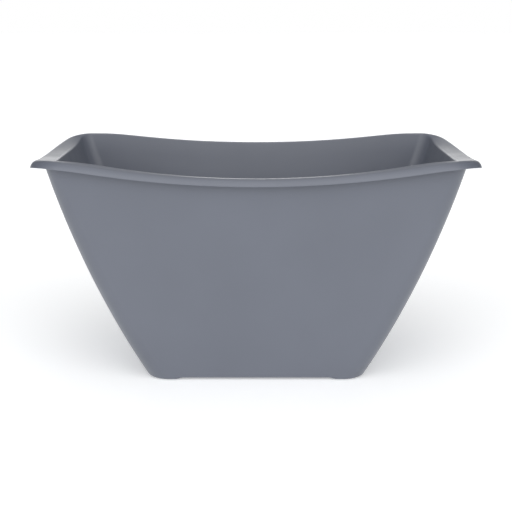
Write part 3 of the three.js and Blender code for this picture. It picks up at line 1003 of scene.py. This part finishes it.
class BATHTUB_OT_stopper(bpy.types.Operator):
    """Make the rubber stopper with the eye for its ring"""

    bl_idname = "bathtub.stopper"
    bl_label = "Drain stopper"

    def execute(self, context):
        drain = context.scene.bathtub_drain
        low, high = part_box("drain_stopper")
        centre = middle_of("drain_stopper")
        plug = drain.bore / 2 - drain.fit_gap
        under = low.z + drain.plug_depth
        top = under + drain.disc_thickness
        rim = (high.x - low.x) / 2
        foot = plug - drain.plug_draft
        hollow, lip, slope = 0.001, 0.0022, 0.0008
        edge, shoulder = 0.0007, 0.0014
        groove_out, groove_in, groove_depth = rim - 0.0075, rim - 0.0113, 0.0006
        corners = [
            (0, low.z + hollow, 0),
            (foot - lip - slope, low.z + hollow, 0.0008),
            (foot - lip, low.z, 0.0006),
            (foot, low.z, 0.0008),
            (plug, under - drain.seat - drain.fit_gap, 0.0008),
            (plug + drain.seat, under, 0.0008),
            (rim - edge, under, 0.0005),
            (rim, under + edge, 0.0005),
            (rim, top - shoulder, 0.0012),
            (rim - 2 * shoulder, top, 0.0016),
            (groove_out, top, 0.0005),
            (groove_out - slope, top - groove_depth, 0.0005),
            (groove_in + slope, top - groove_depth, 0.0005),
            (groove_in, top, 0.0005),
            (0, top, 0),
        ]
        disc = turned("stopper_disc", corners, (centre.x, centre.y, 0), steps=128)
        made = joined("rubber_stopper", disc, self.make_eye(drain, centre, top, high.z))
        settle(shade(made), stopper_finish(context), "stopper", "stopper_rubber", "drain_stopper")
        return {"FINISHED"}

    def make_eye(self, drain, centre, disc_top, eye_top):
        """A rounded loop of rubber that stands on the disc, its hole along X."""
        half_width, half = drain.eye_width / 2, drain.eye_thickness / 2
        hole_height = middle_of("pull_ring").z
        crown = eye_top - half_width
        foot = disc_top - drain.disc_thickness / 2
        steps = 48
        angles = np.arange(steps) / steps * 2 * math.pi
        hole_y = drain.eye_hole / 2 * np.cos(angles)
        hole_z = hole_height + drain.eye_hole / 2 * np.sin(angles)
        out_y = half_width * np.cos(angles)
        upper = crown + half_width * np.sin(angles)
        out_z = np.where(np.sin(angles) >= 0, upper, crown + (crown - foot) * np.sin(angles))
        low = np.sin(angles) < 0
        out_y = np.where(low, half_width * np.sign(out_y) * np.abs(np.cos(angles)) ** 0.25, out_y)

        def line(x, y, z):
            return np.column_stack([np.full(steps, centre.x + x), centre.y + y, z])

        stations = [
            (line(half, out_y, out_z), 0.0009, 4),
            (line(half, hole_y, hole_z), 0.0005, 4),
            (line(-half, hole_y, hole_z), 0.0005, 4),
            (line(-half, out_y, out_z), 0.0009, 4),
        ]
        return closed_loft("stopper_eye", rounded_loop(stations))


class BATHTUB_OT_pull_ring(bpy.types.Operator):
    """Make the steel ring that the stopper is pulled out by"""

    bl_idname = "bathtub.pull_ring"
    bl_label = "Pull ring"

    def execute(self, context):
        drain, colours = context.scene.bathtub_drain, context.scene.bathtub_colours
        centre = middle_of("pull_ring")
        wire = drain.ring_wire / 2
        radius = size_of("pull_ring").x / 2 - wire
        steps, ring_steps = 24, 120
        angles = np.arange(steps) / steps * 2 * math.pi
        around = np.arange(ring_steps) / ring_steps * 2 * math.pi
        lines = []
        for angle in angles:
            reach = radius + wire * math.cos(angle)
            x, y = centre.x + reach * np.cos(around), centre.y + reach * np.sin(around)
            height = np.full(ring_steps, centre.z + wire * math.sin(angle))
            lines.append(np.column_stack([x, y, height]))
        made = closed_loft("steel_pull_ring", lines)
        finish = finish_named("stainless steel wire", stainless_wire, tuple(colours.ring))
        settle(shade(made), finish, "ring", "ring_steel", "pull_ring")
        return {"FINISHED"}


TABLE_GLOW = 0.3  # the table's own light, which softens the shadow under the tub

# The camera that was fitted to the outlines in the photo
CAMERA_PLACE = (0.0, -1.8337, 0.6370)
CAMERA_LENS = 69.76
CAMERA_TILT = 13.75  # degrees below level

# Soft white patches of the world, like panels round the tub: the way to each one, its strength,
# and how narrow it is. The strengths were fitted to the tones in the photo, then set one by one.
PANELS = [
    ((0, -1, 0.05), 1.15, 8.0),
    ((-0.7, -0.7, 0.3), 2.25, 8.0),
    ((0.7, -0.7, 0.3), 2.25, 8.0),
    ((0, -1, 1), 1.75, 8.0),
    ((0, 0, 1), 1.3, 8.0),
    ((0, 1, 0.05), 3.4, 40.0),
    ((0, 1, 0.17), 0.45, 8.0),
    ((0, 1, 1), 0.4, 8.0),
]


class BATHTUB_OT_stage(bpy.types.Operator):
    """Make the pale floor, the soft lights and the camera"""

    bl_idname = "bathtub.stage"
    bl_label = "Studio"

    def execute(self, context):
        scene = context.scene
        self.make_floor(context)
        self.make_world(scene)
        self.make_camera(scene)
        scene.view_settings.view_transform = "Standard"
        return {"FINISHED"}

    def make_floor(self, context):
        reach = 30.0  # far enough that its edge is close to the horizon
        corners = [(-reach, -reach, 0), (reach, -reach, 0), (reach, reach, 0), (-reach, reach, 0)]
        mesh = bpy.data.meshes.new("studio_floor")
        mesh.from_pydata(corners, [], [(0, 1, 2, 3)])
        floor = in_scene("studio_floor", mesh)
        mesh.materials.append(studio_floor(tuple(context.scene.bathtub_colours.studio)))

    def make_world(self, scene):
        """Plain white where the camera looks, and soft white panels for light and reflections."""
        world = bpy.data.worlds.new("soft studio")
        scene.world = world
        world.use_nodes = True
        tree = world.node_tree
        way = add_node(tree, "ShaderNodeTexCoord").outputs["Generated"]
        light = add_node(tree, "ShaderNodeValue").outputs[0]
        light.default_value = 0.0
        for towards_panel, strength, sharpness in PANELS:
            facing = add_node(
                tree,
                "ShaderNodeVectorMath",
                {"operation": "DOT_PRODUCT", 1: Vector(towards_panel).normalized()},
                {0: way},
            )
            lit = add_node(
                tree,
                "ShaderNodeMath",
                {"operation": "MAXIMUM", 1: 0.0},
                {0: facing.outputs["Value"]},
            )
            soft = add_node(
                tree, "ShaderNodeMath", {"operation": "POWER", 1: sharpness}, {0: lit.outputs[0]}
            )
            light = add_node(
                tree,
                "ShaderNodeMath",
                {"operation": "MULTIPLY_ADD", 1: strength},
                {0: soft.outputs[0], 2: light},
            ).outputs[0]
        seen = add_node(tree, "ShaderNodeLightPath").outputs["Is Camera Ray"]
        brightness = add_node(
            tree, "ShaderNodeMix", {"data_type": "FLOAT", "B": 1.0}, {"Factor": seen, "A": light}
        )
        background = tree.nodes["Background"]
        background.inputs["Color"].default_value = (1.0, 1.0, 1.0, 1)
        tree.links.new(brightness.outputs["Result"], background.inputs["Strength"])

    def make_camera(self, scene):
        data = bpy.data.cameras.new("camera")
        data.lens = CAMERA_LENS
        data.clip_end = 100
        camera = bpy.data.objects.new("camera", data)
        camera.location = CAMERA_PLACE
        camera.rotation_euler = (math.radians(90 - CAMERA_TILT), 0, 0)
        scene.collection.objects.link(camera)
        scene.camera = camera


OPERATORS = [
    BATHTUB_OT_shell,
    BATHTUB_OT_floor_bars,
    BATHTUB_OT_feet,
    BATHTUB_OT_drain,
    BATHTUB_OT_stopper,
    BATHTUB_OT_pull_ring,
    BATHTUB_OT_stage,
]


class BATHTUB_PT_panel(bpy.types.Panel):
    """The bathtub's sizes, colours and steps"""

    bl_label = "Pet Bathtub"
    bl_idname = "BATHTUB_PT_panel"
    bl_space_type = "VIEW_3D"
    bl_region_type = "UI"
    bl_category = "Bathtub"

    def draw(self, context):
        layout = self.layout
        for operator in OPERATORS:
            layout.operator(operator.bl_idname)
        for name, group in GROUPS.items():
            box = layout.box()
            box.label(text=group.__doc__)
            for key in group.__annotations__:
                box.prop(getattr(context.scene, name), key)


def register():
    for group in GROUPS.values():
        bpy.utils.register_class(group)
    for operator in OPERATORS:
        bpy.utils.register_class(operator)
    bpy.utils.register_class(BATHTUB_PT_panel)
    for name, group in GROUPS.items():
        setattr(bpy.types.Scene, name, PointerProperty(type=group))


def unregister():
    for name in GROUPS:
        delattr(bpy.types.Scene, name)
    bpy.utils.unregister_class(BATHTUB_PT_panel)
    for operator in reversed(OPERATORS):
        bpy.utils.unregister_class(operator)
    for group in reversed(list(GROUPS.values())):
        bpy.utils.unregister_class(group)


def main():
    register()
    bpy.ops.bathtub.shell()
    bpy.ops.bathtub.floor_bars()
    bpy.ops.bathtub.feet()
    bpy.ops.bathtub.drain()
    bpy.ops.bathtub.stopper()
    bpy.ops.bathtub.pull_ring()
    bpy.ops.bathtub.stage()


if __name__ == "__main__":
    main()
